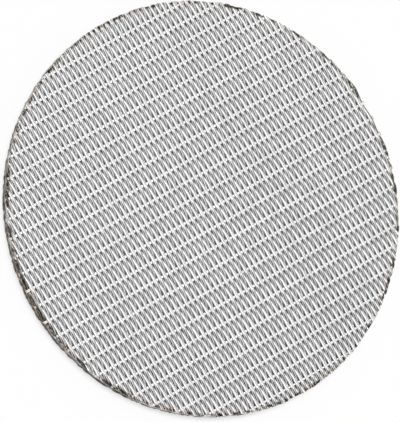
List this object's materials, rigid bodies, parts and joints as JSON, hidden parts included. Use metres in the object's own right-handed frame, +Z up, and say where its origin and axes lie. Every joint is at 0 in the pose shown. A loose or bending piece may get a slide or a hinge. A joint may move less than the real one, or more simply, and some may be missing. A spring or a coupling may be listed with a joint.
{
  "type": "wire mesh filter disc",
  "caption": "Flat round filter disc cut from sintered wire mesh, with a plain Dutch weave face of packed weft wires over thick warps.",
  "frame": {"origin": "centre of the flat underside", "axes": "+Z up through the plate towards the woven face, +X along the warp wires, +Y along the weft wires"},
  "size_m": [0.051, 0.051, 0.0017],
  "materials": {
    "steel_mesh": "bright stainless wire, bonded by sintering, with a faint brown heat tint along the cut edge"
  },
  "bodies": {
    "root": {"mesh_disc": "steel_mesh"}
  },
  "joints": []
}
